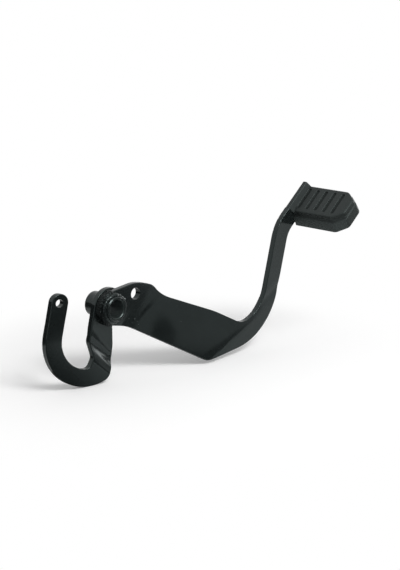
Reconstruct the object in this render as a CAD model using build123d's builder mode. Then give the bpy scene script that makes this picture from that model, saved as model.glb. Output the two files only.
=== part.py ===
from build123d import *
from math import acos, atan2, cos, degrees, hypot, radians, sin, tan
import os

# Rear brake pedal of a motorcycle: a folded steel arm and a hooked rod lever, both welded round a pivot tube,
# and a steel foot plate at the arm's end that carries a moulded rubber pad.
# Millimetres. +X is forward, -Y is outward from the machine, +Z is up.
# The origin is on the pivot axis, at the middle of the pivot tube.

# Pivot tube
tube_length = 33.0
tube_diameter = 23.5
tube_bore = 17.5
tube_chamfer = 0.8

# Steel plate of the arm and the lever
plate_thickness = 6.0
edge_round = 0.9
eye_fit = 0.1
blank_size = 300.0
fold_overrun = 8.0
broad_face_tilt = cos(radians(45))

# Pedal arm, side view from the pivot axis
arm_eye_radius = 16.5
arm_hole_diameter = 11.5
arm_hole_x = 27.5
arm_hole_z = 9.0
crown = (29.0, 20.0)
crown_radius = 40.0
shoulder = (50.8, 13.6)
shoulder_radius = 14.0
waist = (59.8, 1.9)
waist_radius = 34.0
brow = (114.0, -21.3)
brow_radius = 100.0
first_fold_low = (16.5, -20.6)
first_fold_high = (56.0, 10.0)
first_fold_radius = 14.0
chin_radius = 60.0
second_fold_low = (93.0, -66.0)
second_fold_high = (143.0, -38.0)
second_fold_radius = 5.0
crook_radius = 18.0
heel_radius = 14.0
arm_offset = 33.0

# Upright strip of the arm
strip_width = 18.5
upright_x = 193.5
upright_z = 20.0
upright_angle = 75.0
elbow_inner_angle = 20.0
elbow_outer_angle = 6.0
elbow_inner_radius = 38.0
elbow_outer_radius = 68.0
knuckle_radius = 24.0
tang_round = 2.0

# Hooked rod lever, side view
lever_eye_radius = 18.5
lever_leg_angle = 13.5
lever_front_x = 3.3
lever_hip_z = -43.0
lever_hip_radius = 28.0
lever_fold_rear_z = -28.5
lever_fold_front_z = -50.5
lever_fold_radius = 6.0
hook_x = -29.1
hook_z = -23.0
hook_out = 5.4
hook_turn = 10.0
hook_width = 16.8
hook_inner_radius = 29.2
hook_lean = 12.5
hook_reach = 31.0
hook_hole_diameter = 7.5
toe_inner = (-25.4, -42.0)
toe_outer = (-6.4, -58.9)
toe_angle = 22.0
toe_radius = 8.0
toe_bend_radius = 40.0
ankle_radius = 16.0
throat_angle = 267.0
throat_radius = 6.0

# Foot pad, measured on the tread from the arm's outer face
pad_x = 216.0
pad_z = 65.9
pad_angle = 40.0
tread_length = 61.0
tread_width = 35.2
pad_corner = (11.5, 9.0)
pad_corner_round = 3.0
pad_thickness = 16.5
flank_near = 4.2
flank_end = 0.3
flank_far = -1.5
flank_cove = 0.3
skirt_height = 7.0
skirt_step = 1.6
pad_round = 1.6
lip_height = 5.8
lip_top_width = 4.5
lip_foot = 1.4
lip_root = 1.0
lip_near = 1.5
lip_round = 1.2
groove_count = 5
groove_pitch = 10.7
groove_start = 3.4
groove_width = 3.8
groove_length = 25.5
groove_shift = 0.5
groove_depth = 1.3

# Tang of the arm beside the pad, and the foot plate inside it
strip_rise = 6.4
tang_top = 0.9
tang_margin = 1.0
foot_plate_length = 55.0
foot_plate_width = 28.0
foot_plate_thickness = 4.0
foot_plate_depth = 5.0
foot_plate_corner = (9.0, 7.0)
pad_fit = 0.2

# Weld beads
weld_leg = 3.6
lever_weld_leg = 1.9
lever_weld_height = 4.2
lever_weld_start = 102.0
lever_weld_arc = 150.0
plate_weld_leg = 3.0
plate_weld_length = 22.0
weld_fit = 0.05

# Layers outward from the middle of the tube
OUTWARD = Vector(0, -1, 0)
arm_out = plate_thickness
arm_face_out = arm_out + plate_thickness
upright_out = arm_out + arm_offset
upright_face_out = upright_out + plate_thickness
tube_radius = tube_diameter / 2
eye_hole_radius = tube_radius + eye_fit


def side(out):
    """A side-view plane, some millimetres outward of the tube's middle: local X forward, local Y up."""
    return Plane.XZ.offset(out)


def world(point, out):
    """A side-view point, given in space."""
    return Vector(point[0], -out, point[1])


def middle(point, other):
    """The side-view point half way between two others."""
    return ((point[0] + other[0]) / 2, (point[1] + other[1]) / 2)


def overrun(point, other):
    """A fold line's two ends in side view, moved past both edges of the plate."""
    length = hypot(other[0] - point[0], other[1] - point[1])
    along, up = (fold_overrun * (other[i] - point[i]) / length for i in (0, 1))
    return (point[0] - along, point[1] - up), (other[0] + along, other[1] + up)


def meet(point, angle, other, other_angle):
    """Where two side-view lines cross, each given by a point and its angle above horizontal."""
    across, up = other[0] - point[0], other[1] - point[1]
    turn = sin(radians(other_angle - angle))
    run = (across * sin(radians(other_angle)) - up * cos(radians(other_angle))) / turn
    return (point[0] + run * cos(radians(angle)), point[1] + run * sin(radians(angle)))


def beside(point, angle, distance):
    """A side-view point moved square to a direction, to its left."""
    return (point[0] - distance * sin(radians(angle)), point[1] + distance * cos(radians(angle)))


def polar(radius, angle, centre=(0, 0)):
    """A side-view point at a radius and an angle from a centre."""
    return (centre[0] + radius * cos(radians(angle)), centre[1] + radius * sin(radians(angle)))


def touch(point, radius, turn):
    """Where a line from a side-view point touches a circle round the pivot axis, on one side or the other."""
    swing = degrees(acos(radius / hypot(*point)))
    return polar(radius, degrees(atan2(point[1], point[0])) + turn * swing)


def section(start, end, outward):
    """A plane across a folded plate along one fold line, with local Y outward."""
    along = (end - start).normalized()
    centre = (start + end + outward * plate_thickness) * 0.5
    return Plane(origin=centre, x_dir=along, z_dir=along.cross(outward))


def nearest_edge(piece, point):
    """The edge of a piece whose middle lies nearest to a point."""
    return piece.edges().sort_by(lambda edge: (edge @ 0.5 - point).length)[0]


def rim(piece):
    """The outline edges of a folded plate: those that bound only one of its broad faces."""
    broad = [face for face in piece.faces() if abs(face.normal_at().Y) > broad_face_tilt]
    edges = [edge for face in broad for edge in face.edges()]
    return [edge for edge in edges if sum(edge.is_same(other) for other in edges) == 1]


def tongue(start, end, low, high, corner, corner_round):
    """A flat outline on the tread, with its two outer corners cut off and rounded."""
    outline = Polygon(
        (start, low),
        (end - corner[0], low),
        (end, low + corner[1]),
        (end, high - corner[1]),
        (end - corner[0], high),
        (start, high),
        align=None,
    )
    fillet(outline.vertices().sort_by(Axis.X)[2:], corner_round)


# Pivot tube
with BuildPart() as pivot_tube:
    with BuildSketch(side(-tube_length / 2)):
        Circle(tube_radius)
        Circle(tube_bore / 2, mode=Mode.SUBTRACT)
    extrude(amount=tube_length)
    chamfer(pivot_tube.edges().filter_by(GeomType.CIRCLE), tube_chamfer)

# Plane of the tread: local X outward from the arm's face, local Y up the tread, local Z off the tread
tread_normal = Vector(-sin(radians(pad_angle)), 0, cos(radians(pad_angle)))
tread_plane = Plane(origin=(pad_x, -upright_face_out, pad_z), x_dir=OUTWARD, z_dir=tread_normal)

# Corners of the arm's outline, side view
tread_corner = (pad_x, pad_z)
upright_middle = (upright_x, upright_z)
rear_line = beside(upright_middle, upright_angle, strip_width / 2)
front_line = beside(upright_middle, upright_angle, -strip_width / 2)
top_line = beside(tread_corner, pad_angle, strip_rise)
under_line = beside(tread_corner, pad_angle, strip_rise - strip_width)
tang_end = beside(tread_corner, pad_angle + 90, tang_margin - tread_width)
elbow_inner = meet(second_fold_high, elbow_inner_angle, rear_line, upright_angle)
elbow_outer = meet(second_fold_low, elbow_outer_angle, front_line, upright_angle)
knuckle_rear = meet(rear_line, upright_angle, top_line, pad_angle)
knuckle_front = meet(front_line, upright_angle, under_line, pad_angle)
tang_top_corner = meet(top_line, pad_angle, tang_end, pad_angle + 90)
tang_low_corner = meet(under_line, pad_angle, tang_end, pad_angle + 90)
eye_top = touch(crown, arm_eye_radius, 1)
eye_bottom = touch(first_fold_low, arm_eye_radius, -1)

# Pedal arm
with BuildPart() as pedal_arm:
    # Folded blank: the eye's layer, the upright's layer and the ramp between them
    first_low, first_high = overrun(first_fold_low, first_fold_high)
    second_low, second_high = overrun(second_fold_low, second_fold_high)
    for out, low, high, reach in (
        (arm_out, first_low, first_high, -blank_size),
        (upright_out, second_low, second_high, blank_size),
    ):
        with BuildSketch(side(out)):
            Polygon(
                low,
                high,
                (high[0], blank_size),
                (reach, blank_size),
                (reach, -blank_size),
                (low[0], -blank_size),
                align=None,
            )
        extrude(amount=plate_thickness)
    for out, low, high in ((arm_out, first_low, first_high), (upright_out, second_low, second_high)):
        with BuildSketch(section(world(low, out), world(high, out), OUTWARD)):
            Rectangle((world(high, out) - world(low, out)).length, plate_thickness)
    loft()
    # Outline, from the eye along the lower edge to the tang and back along the upper edge
    with BuildSketch(side(arm_out)):
        with BuildLine():
            ThreePointArc(eye_top, (-arm_eye_radius, 0), eye_bottom)
            FilletPolyline(
                eye_bottom,
                first_fold_low,
                second_fold_low,
                elbow_outer,
                knuckle_front,
                tang_low_corner,
                tang_top_corner,
                knuckle_rear,
                elbow_inner,
                second_fold_high,
                brow,
                waist,
                shoulder,
                crown,
                eye_top,
                radius=[
                    chin_radius,
                    heel_radius,
                    elbow_outer_radius,
                    knuckle_radius,
                    tang_round,
                    tang_round,
                    knuckle_radius + strip_width,
                    elbow_inner_radius,
                    crook_radius,
                    brow_radius,
                    waist_radius,
                    shoulder_radius,
                    crown_radius,
                ],
            )
        make_face()
    extrude(amount=arm_offset + plate_thickness, mode=Mode.INTERSECT)
    # Bends along both folds, then the rounded edges
    for low, high, radius, hollow_out, ridge_out in (
        (first_fold_low, first_fold_high, first_fold_radius, arm_face_out, arm_out),
        (second_fold_low, second_fold_high, second_fold_radius, upright_out, upright_face_out),
    ):
        fillet(nearest_edge(pedal_arm, world(middle(low, high), hollow_out)), radius)
        fillet(nearest_edge(pedal_arm, world(middle(low, high), ridge_out)), radius + plate_thickness)
    fillet(rim(pedal_arm), edge_round)
    # Pivot eye and rod hole
    with BuildSketch(side(arm_out)):
        Circle(eye_hole_radius)
        with Locations((arm_hole_x, arm_hole_z)):
            Circle(arm_hole_diameter / 2)
    extrude(amount=plate_thickness, mode=Mode.SUBTRACT)
    # Room for the pad's lip over the tang
    with BuildSketch(tread_plane.offset(tang_top)):
        with Locations((-plate_thickness / 2, (tread_width - lip_near) / 2)):
            Rectangle(2 * plate_thickness, tread_width + lip_near + 2 * pad_fit)
    extrude(amount=strip_width, mode=Mode.SUBTRACT)

# Hooked rod lever
hook_centre = (hook_x, hook_z)
hook_outward = Vector(-sin(radians(hook_turn)), -cos(radians(hook_turn)), 0)
hook_plane = Plane(
    origin=world(hook_centre, hook_out),
    x_dir=(cos(radians(hook_turn)), -sin(radians(hook_turn)), 0),
    z_dir=hook_outward,
)
hook_outer_radius = hook_inner_radius + hook_width
hook_middle_radius = hook_inner_radius + hook_width / 2
hook_top = polar(hook_middle_radius, 180 - hook_lean, hook_centre)
hook_hole = beside(hook_top, 180 - hook_lean, -hook_reach)
throat = polar(hook_inner_radius, throat_angle, hook_centre)
toe_tip = polar(hook_outer_radius, 270 + toe_angle, hook_centre)
leg_touch = polar(lever_eye_radius, 180 - lever_leg_angle)
lever_fold_rear = meet(leg_touch, 90 - lever_leg_angle, (0, lever_fold_rear_z), 0)
lever_fold_front = (lever_front_x, lever_fold_front_z)
lever_hip = (lever_front_x, lever_hip_z)


def on_hook(point):
    """A side-view point, given in space on the hook's inner face."""
    return world(point, hook_out + (point[0] - hook_x) * tan(radians(hook_turn)))


with BuildPart() as hook_lever:
    # Folded blank: the eye's layer, the turned hook's layer and the joggle between them
    rear, front = overrun(lever_fold_rear, lever_fold_front)
    inner, outer = overrun(toe_inner, toe_outer)
    with BuildSketch(side(0)):
        Polygon(
            rear, front, (blank_size, front[1]), (blank_size, blank_size), (rear[0], blank_size), align=None
        )
    extrude(amount=plate_thickness)
    with BuildSketch(hook_plane):
        local_inner, local_outer = (hook_plane.to_local_coords(on_hook(toe)) for toe in (inner, outer))
        Polygon(
            (local_outer.X, local_outer.Y),
            (local_inner.X, local_inner.Y),
            (local_inner.X, blank_size),
            (-blank_size, blank_size),
            (-blank_size, -blank_size),
            (local_outer.X, -blank_size),
            align=None,
        )
    extrude(amount=plate_thickness)
    for start, end, outward in (
        (world(rear, 0), world(front, 0), OUTWARD),
        (on_hook(inner), on_hook(outer), hook_outward),
    ):
        with BuildSketch(section(start, end, outward)):
            Rectangle((end - start).length, plate_thickness)
    loft()
    # Outline: eye, leg, joggle and hook
    with BuildSketch(side(-blank_size)) as lever_outline:
        Circle(lever_eye_radius)
        Polygon(
            leg_touch, lever_fold_rear, toe_inner, toe_outer, lever_hip, (lever_front_x, 0), align=None
        )
        with BuildLine() as hook_line:
            hook_arc = CenterArc(hook_centre, hook_middle_radius, 180 - hook_lean, 90 + hook_lean + toe_angle)
            Line(hook_arc @ 0, hook_hole)
        trace(hook_line.line, hook_width)
        with Locations(hook_hole):
            Circle(hook_width / 2)
        Polygon(throat, toe_inner, toe_outer, toe_tip, align=None)
        for corner, radius in (
            (lever_fold_rear, ankle_radius),
            (toe_inner, toe_radius),
            (lever_hip, lever_hip_radius),
            (toe_outer, toe_bend_radius),
            (toe_tip, toe_radius),
            (throat, throat_radius),
        ):
            fillet(lever_outline.vertices().sort_by_distance(corner)[0], radius)
    extrude(amount=2 * blank_size, mode=Mode.INTERSECT)
    # Bends along both folds, then the rounded edges
    leg_middle = middle(lever_fold_rear, lever_fold_front)
    toe_middle = on_hook(middle(toe_inner, toe_outer))
    for point, radius in (
        (world(leg_middle, plate_thickness), lever_fold_radius),
        (world(leg_middle, 0), lever_fold_radius + plate_thickness),
        (toe_middle, lever_fold_radius),
        (toe_middle + hook_outward * plate_thickness, lever_fold_radius + plate_thickness),
    ):
        fillet(nearest_edge(hook_lever, point), radius)
    fillet(rim(hook_lever), edge_round)
    # Pivot eye, and the rod hole near the hook's free end
    with BuildSketch(side(0)):
        Circle(eye_hole_radius)
    extrude(amount=plate_thickness, mode=Mode.SUBTRACT)
    with BuildSketch(hook_plane):
        rod = hook_plane.to_local_coords(on_hook(hook_hole))
        with Locations((rod.X, rod.Y)):
            Circle(hook_hole_diameter / 2)
    extrude(amount=plate_thickness, mode=Mode.SUBTRACT)

# Levels below the tread, and places across it
plate_top = -foot_plate_depth
plate_bottom = plate_top - foot_plate_thickness
tread_middle = tread_width / 2
tread_axis = Axis(tread_plane.origin, tread_normal)


def across_tread(up):
    """A plane across the tread, some way up it and facing down it: local X outward, local Y off the tread."""
    origin = tread_plane.from_local_coords(Vector(0, up, 0))
    return Plane(origin=origin, x_dir=OUTWARD, z_dir=-tread_plane.y_dir)


def pad_outline(near, end, far):
    """The rubber pad's outline, grown past the tread on its near side, at its end and on its far side."""
    tongue(pad_fit, tread_length + end, -near, tread_width + far, pad_corner, pad_corner_round)


def plate_outline(grow):
    """The foot plate's outline, grown for a clearance."""
    half = foot_plate_width / 2 + grow
    end = foot_plate_length + grow
    tongue(0, end, tread_middle - half, tread_middle + half, foot_plate_corner, pad_corner_round)


def corner_bead(leg, gap):
    """Section of the corner between the arm's outer face and the foot plate's underside."""
    Polygon((gap, plate_bottom - gap), (leg, plate_bottom - gap), (gap, plate_bottom - leg), align=None)


# Foot plate
with BuildPart() as foot_plate:
    with BuildSketch(tread_plane.offset(plate_bottom)):
        plate_outline(0)
    extrude(amount=foot_plate_thickness)

# Bead under the foot plate
with BuildPart() as plate_weld:
    with BuildSketch(across_tread(tread_middle + plate_weld_length / 2)):
        corner_bead(plate_weld_leg, weld_fit)
    extrude(amount=plate_weld_length)

# Rubber foot pad
with BuildPart() as foot_pad:
    # Skirt, then the hollow flanks that draw in to the tread
    with BuildSketch(tread_plane.offset(-pad_thickness)):
        pad_outline(flank_near + skirt_step, flank_end + skirt_step, flank_far)
    extrude(amount=skirt_height)
    skirt_top = skirt_height - pad_thickness
    for level, share in ((skirt_top, 1), (skirt_top / 2, flank_cove), (0, 0)):
        with BuildSketch(tread_plane.offset(level)):
            pad_outline(share * flank_near, share * flank_end, share * flank_far)
    loft(ruled=True)
    tread_edges = foot_pad.faces().sort_by(tread_axis)[-1].edges()
    fillet(tread_edges.sort_by(Axis(tread_plane.origin, OUTWARD))[1:], pad_round)
    # Lip that hooks over the arm's tang
    with BuildSketch(across_tread(tread_width)):
        Polygon(
            (-plate_thickness, tang_top + pad_fit),
            (-plate_thickness, lip_height),
            (lip_top_width - plate_thickness, lip_height),
            (lip_foot, 0),
            (lip_foot, -lip_root),
            (pad_fit, -lip_root),
            (pad_fit, tang_top + pad_fit),
            align=None,
        )
    extrude(amount=tread_width + lip_near)
    fillet(foot_pad.faces().sort_by(tread_axis)[-1].edges(), lip_round)
    # Grip grooves
    with BuildSketch(tread_plane):
        for i in range(groove_count):
            with Locations((groove_start + i * groove_pitch, tread_middle + groove_shift)):
                SlotOverall(groove_length, groove_width, rotation=90)
    extrude(amount=-groove_depth, mode=Mode.SUBTRACT)
    # Pocket for the foot plate, and room for the bead below it
    with BuildSketch(tread_plane.offset(plate_bottom - pad_fit)):
        plate_outline(pad_fit)
    extrude(amount=foot_plate_thickness + 2 * pad_fit, mode=Mode.SUBTRACT)
    with BuildSketch(across_tread(tread_middle + plate_weld_length / 2 + pad_fit)):
        corner_bead(plate_weld_leg + 2 * pad_fit, 0)
    extrude(amount=plate_weld_length + 2 * pad_fit, mode=Mode.SUBTRACT)

# Beads round the tube: on the arm's outer face and on the lever's inner face
with BuildPart() as tube_weld:
    with BuildSketch(Plane.XY):
        with Locations((tube_radius + weld_fit, -arm_face_out - weld_fit)):
            Polygon((0, 0), (0, -weld_leg), (weld_leg, 0), align=None)
    revolve(axis=Axis.Y)
with BuildPart() as inner_weld:
    with BuildSketch(Plane.XY):
        with Locations((tube_radius + weld_fit, weld_fit)):
            Polygon((0, 0), (weld_leg, 0), (0, weld_leg), align=None)
    revolve(axis=Axis.Y)

# Bead round the rear of the arm's eye, on the lever's outer face
bead_start = Vector(cos(radians(lever_weld_start)), 0, sin(radians(lever_weld_start)))
with BuildPart() as lever_weld:
    with BuildSketch(Plane(origin=(0, 0, 0), x_dir=bead_start, z_dir=bead_start.cross(-OUTWARD))):
        with Locations((arm_eye_radius + weld_fit, -arm_out - weld_fit)):
            Polygon((0, 0), (0, -lever_weld_height), (lever_weld_leg, 0), align=None)
    revolve(axis=Axis((0, 0, 0), OUTWARD), revolution_arc=lever_weld_arc)

pieces = {
    "pivot_tube": pivot_tube,
    "pedal_arm": pedal_arm,
    "hook_lever": hook_lever,
    "foot_plate": foot_plate,
    "foot_pad": foot_pad,
    "tube_weld": tube_weld,
    "inner_weld": inner_weld,
    "lever_weld": lever_weld,
    "plate_weld": plate_weld,
}
os.makedirs("parts", exist_ok=True)
for name, piece in pieces.items():
    piece.part.label = name
    export_step(piece.part, f"parts/{name}.step")
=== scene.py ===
"""Rear brake pedal: gloss black welded steel and a moulded rubber foot pad, on a studio stage."""
import math
import random

import bmesh
import bpy
from bpy.props import FloatProperty, FloatVectorProperty, IntProperty, PointerProperty
from mathutils import Matrix, Quaternion, Vector


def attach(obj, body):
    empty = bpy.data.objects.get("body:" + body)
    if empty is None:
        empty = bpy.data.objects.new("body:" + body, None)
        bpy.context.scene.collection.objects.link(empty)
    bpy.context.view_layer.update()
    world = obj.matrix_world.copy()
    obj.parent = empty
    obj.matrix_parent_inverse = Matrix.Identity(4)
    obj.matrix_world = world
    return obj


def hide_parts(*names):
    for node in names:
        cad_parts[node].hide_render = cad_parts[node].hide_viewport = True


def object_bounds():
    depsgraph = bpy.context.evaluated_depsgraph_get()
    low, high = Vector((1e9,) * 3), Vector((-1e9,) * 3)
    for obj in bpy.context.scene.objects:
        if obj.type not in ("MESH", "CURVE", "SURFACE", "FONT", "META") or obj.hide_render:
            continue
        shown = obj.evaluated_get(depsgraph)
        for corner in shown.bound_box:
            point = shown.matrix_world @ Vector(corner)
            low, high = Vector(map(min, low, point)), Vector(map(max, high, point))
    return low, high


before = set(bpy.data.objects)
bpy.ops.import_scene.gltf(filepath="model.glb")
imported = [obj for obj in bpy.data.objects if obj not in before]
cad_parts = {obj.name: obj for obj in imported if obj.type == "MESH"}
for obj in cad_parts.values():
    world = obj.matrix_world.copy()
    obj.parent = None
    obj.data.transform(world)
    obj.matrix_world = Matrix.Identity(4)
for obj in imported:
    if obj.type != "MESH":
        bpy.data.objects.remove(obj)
cad_box = [list(corner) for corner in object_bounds()]

bl_info = {
    "name": "Rear Brake Pedal",
    "version": (1, 0, 0),
    "blender": (4, 5, 0),
    "location": "3D View > Sidebar > Pedal",
    "description": "Dresses a welded brake pedal: paint, rubber, weld beads, spatter and a studio stage",
    "category": "Object",
}

MM = 0.001
PICTURE_HEIGHT = 570  # pixels
SENSOR = 36.0  # millimetres along the picture's longer side
TINY = 0.01 * MM  # slack in tests of a place
MERGE = 0.001 * MM
ARM_FACE = -12.0 * MM
LEVER_FACE = -6.0 * MM
# Pad's side from the tread down: depth in millimetres, share of the flank's growth and of the skirt's step
PAD_PROFILE = (
    (2.3, 0.03, 0.0), (3.4, 0.06, 0.0), (4.4, 0.11, 0.05), (5.1, 0.17, 0.25),
    (5.6, 0.22, 0.6), (6.2, 0.29, 0.88), (7.0, 0.38, 1.0), (9.5, 0.6, 1.0),
    (12.5, 0.83, 1.0), (15.4, 1.0, 1.0), (16.1, 1.0, 0.75), (16.5, 1.0, 0.3))
PAD_FIT = 0.2 * MM  # gap between the pad and the arm's outer face
# Opening of a groove's rim, bottom up: rise and spread in millimetres
GROOVE_RIM = ((0.25, 0.1), (0.2, 0.25), (0.5, 0.7))
# Rows of the rough bead: place outward of the eye's edge, height on the lever and fatness, in millimetres
ROUGH_ROWS = ((-0.1, 0.6, 1.2), (-0.2, 2.2, 1.2), (-0.2, 3.8, 1.2), (-0.7, 5.4, 1.2), (-1.9, 6.2, 0.9))
ROUGH_CRUMBS = 110
# Fold lines in side view, in millimetres: first the fold at the plate's eye, then the one further down
ARM_FOLDS = (((16.5, -20.6), (56.0, 10.0)), ((93.0, -66.0), (143.0, -38.0)))
LEVER_FOLDS = (((3.3, -50.5), (-18.6, -28.5)), ((-6.4, -58.9), (-25.4, -42.0)))
# Bends that the plates already have there, as shares like those of the soft bends
ARM_CREASE, LEVER_CREASE = (0.03, 0.023), (0.13, 0.13)
# Weld spatter on the arm's outer side: place forward and up of the pivot, and size, in millimetres
SPATTER = (
    (24.9, -15.3, 0.9), (28.3, -21.4, 0.75), (73.6, -25.4, 0.7), (21.5, -18.2, 0.5), (18.3, -13.6, 0.55),
    (27.2, -18.0, 0.45), (20.6, 4.0, 0.4), (31.5, -12.2, 0.35), (22.6, -9.8, 0.35), (12.6, 17.2, 0.5))


class PedalPaint(bpy.types.PropertyGroup):
    """Gloss black paint on the pressed steel"""

    colour: FloatVectorProperty(
        name="Colour", description="Base colour of the paint", subtype="COLOR", size=3,
        min=0.0, max=1.0, default=(0.0075, 0.0095, 0.0095))
    roughness: FloatProperty(
        name="Roughness", description="Roughness of the paint's surface", subtype="FACTOR",
        min=0.0, max=1.0, default=0.1)
    sheen: FloatVectorProperty(
        name="Gloss tint", description="Faint cool tint of the paint's gloss", subtype="COLOR", size=3,
        min=0.0, max=1.0, default=(0.84, 1.0, 0.98))
    index: FloatProperty(
        name="Refraction", description="Refractive index of the paint", min=1.0, max=2.0, default=1.38)
    peel: FloatProperty(
        name="Orange peel", description="Width of the ripples in the sprayed paint", unit="LENGTH",
        min=0.0002, max=0.02, default=0.0022)


class PedalRubber(bpy.types.PropertyGroup):
    """Moulded rubber of the foot pad"""

    colour: FloatVectorProperty(
        name="Colour", description="Base colour of the rubber", subtype="COLOR", size=3,
        min=0.0, max=1.0, default=(0.0085, 0.0102, 0.01))
    sheen: FloatVectorProperty(
        name="Gloss tint", description="Faint cool tint of the rubber's sheen", subtype="COLOR", size=3,
        min=0.0, max=1.0, default=(0.86, 1.0, 0.98))
    roughness: FloatProperty(
        name="Roughness", description="Roughness of the rubber", subtype="FACTOR",
        min=0.0, max=1.0, default=0.5)
    index: FloatProperty(
        name="Refraction", description="Refractive index of the rubber", min=1.0, max=2.0, default=1.37)
    grain: FloatProperty(
        name="Grain", description="Width of the mould's grain", unit="LENGTH",
        min=0.0001, max=0.01, default=0.0007)


class PedalPad(bpy.types.PropertyGroup):
    """Rubber foot pad, measured on its tread from the arm's outer face"""

    root: FloatVectorProperty(
        name="Root", description="Lower inner corner of the tread", subtype="TRANSLATION",
        unit="LENGTH", size=3, default=(216.0 * MM, -45.0 * MM, 65.9 * MM))
    slope: FloatProperty(
        name="Slope", description="Slope of the tread", subtype="ANGLE", default=math.radians(40.0))
    tread: FloatVectorProperty(
        name="Tread", description="Length and width of the tread", unit="LENGTH", size=2,
        default=(61.0 * MM, 35.2 * MM))
    corner: FloatVectorProperty(
        name="Corner", description="Cut at the outer corners, along and across the tread",
        unit="LENGTH", size=2, default=(11.5 * MM, 9.0 * MM))
    corner_round: FloatProperty(
        name="Corner rounding", description="Rounding of the cut corners", unit="LENGTH", default=2.4 * MM)
    flank: FloatVectorProperty(
        name="Flank", description="Growth at the foot of the flank: near side, end and far side",
        unit="LENGTH", size=3, default=(4.2 * MM, 0.3 * MM, -1.5 * MM))
    step: FloatProperty(
        name="Skirt step", description="How far the skirt stands out", unit="LENGTH",
        min=0.0, max=0.01, default=1.6 * MM)
    rim: FloatProperty(
        name="Rim", description="Rounding of the tread's edge", unit="LENGTH",
        min=0.0005, max=0.003, default=2.0 * MM)
    groove: FloatVectorProperty(
        name="Groove", description="Width, length and depth of a groove", unit="LENGTH", size=3,
        default=(3.8 * MM, 25.5 * MM, 1.3 * MM))
    groove_start: FloatProperty(
        name="First groove", description="First groove's distance from the arm", unit="LENGTH",
        default=3.4 * MM)
    groove_pitch: FloatProperty(
        name="Groove pitch", description="Distance between the grooves", unit="LENGTH", default=10.7 * MM)
    grooves: IntProperty(name="Grooves", description="Number of grooves", min=1, max=12, default=5)


class PedalBend(bpy.types.PropertyGroup):
    """Soft bends that the press draws over the folds of the arm and of the hooked lever"""

    arm_step: FloatProperty(
        name="Arm's step", description="How far the arm's ramp steps outward", unit="LENGTH",
        default=33.0 * MM)
    arm_ease: FloatVectorProperty(
        name="Arm's ease", description="Half width of the ramp's two bends, as a share of the ramp",
        size=2, min=0.01, max=0.5, default=(0.1, 0.11))
    lever_step: FloatProperty(
        name="Hook's step", description="How far the hook steps outward at the rear of its lower fold",
        unit="LENGTH", default=6.1 * MM)
    lever_turn: FloatProperty(
        name="Hook's turn", description="How far the hook is turned outward", subtype="ANGLE",
        default=math.radians(10.0))
    lever_ease: FloatVectorProperty(
        name="Lever's ease", description="Half width of the joggle's two bends, as a share of the joggle",
        size=2, min=0.01, max=0.5, default=(0.5, 0.4))
    cuts: IntProperty(name="Cuts", description="Rows of facets across a bend", min=4, max=80, default=16)


class PedalWeld(bpy.types.PropertyGroup):
    """Weld beads round the pivot tube and the arm's eye"""

    tube_radius: FloatProperty(
        name="Tube radius", description="Outer radius of the pivot tube", unit="LENGTH",
        min=0.001, max=0.1, default=11.75 * MM)
    eye_radius: FloatProperty(
        name="Eye radius", description="Outer radius of the arm's eye", unit="LENGTH",
        min=0.001, max=0.1, default=16.5 * MM)
    leg: FloatProperty(
        name="Leg", description="Leg of the bead round the tube", unit="LENGTH",
        min=0.0005, max=0.02, default=3.6 * MM)
    pitch: FloatProperty(
        name="Ripple pitch", description="Mean distance between the ripples of a bead", unit="LENGTH",
        min=0.0005, max=0.02, default=1.5 * MM)
    voxel: FloatProperty(
        name="Fusing size", description="Voxel at which the drops are fused", unit="LENGTH",
        min=0.0001, max=0.002, default=0.3 * MM)
    seed: IntProperty(
        name="Seed", description="Seed of the beads' uneven drops", min=0, default=11)


class PedalStage(bpy.types.PropertyGroup):
    """Floor, lamps and camera"""

    eye_point: FloatVectorProperty(
        name="Camera", description="Place of the camera", subtype="TRANSLATION", unit="LENGTH", size=3,
        default=(-0.7807, -0.8779, 0.3228))
    aim: FloatVectorProperty(
        name="Aim", description="Direction in which the camera looks", subtype="DIRECTION", size=3,
        default=(0.696, 0.673, -0.250))
    focal: FloatProperty(
        name="Focal length", description="Focal length in pixels of the picture", subtype="PIXEL",
        min=100.0, max=10000.0, default=1300.0)
    key: FloatProperty(
        name="Front softbox", description="Power of the large soft lamp above the camera", unit="POWER",
        min=0.0, max=1000.0, default=11.0)
    side: FloatProperty(
        name="Side softbox", description="Power of the smaller soft lamp at the right", unit="POWER",
        min=0.0, max=1000.0, default=2.2)
    fill: FloatProperty(
        name="Room light", description="Strength of the light from all round", min=0.0, max=2.0, default=0.5)


def deselect():
    """Leave edit mode and select nothing."""
    if bpy.context.object and bpy.context.object.mode != "OBJECT":
        bpy.ops.object.mode_set(mode="OBJECT")
    bpy.ops.object.select_all(action="DESELECT")


def pick(*things):
    """Select only these objects, the first of them active."""
    deselect()
    for thing in things:
        thing.select_set(True)
    bpy.context.view_layer.objects.active = things[0]


def apply_place():
    """Apply the selected object's place, turn and scale to its mesh."""
    bpy.ops.object.transform_apply(location=True, rotation=True, scale=True)


def apply_modifier(thing, kind, **settings):
    """Add a modifier with these settings and apply it."""
    pick(thing)
    modifier = thing.modifiers.new(kind.title(), kind)
    for key, value in settings.items():
        setattr(modifier, key, value)
    bpy.ops.object.modifier_apply(modifier=modifier.name)


def open_mesh(thing):
    """Open an object's mesh in edit mode."""
    pick(thing)
    bpy.ops.object.mode_set(mode="EDIT")


def choose(thing, kind, test):
    """Select, in edit mode, only the vertices, edges or faces that pass a test."""
    bpy.ops.mesh.select_mode(type=kind)
    bpy.ops.mesh.select_all(action="DESELECT")
    mesh = bmesh.from_edit_mesh(thing.data)
    for part in {"VERT": mesh.verts, "EDGE": mesh.edges, "FACE": mesh.faces}[kind]:
        if test(part):
            part.select_set(True)
    mesh.select_flush_mode()
    bmesh.update_edit_mesh(thing.data)


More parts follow.
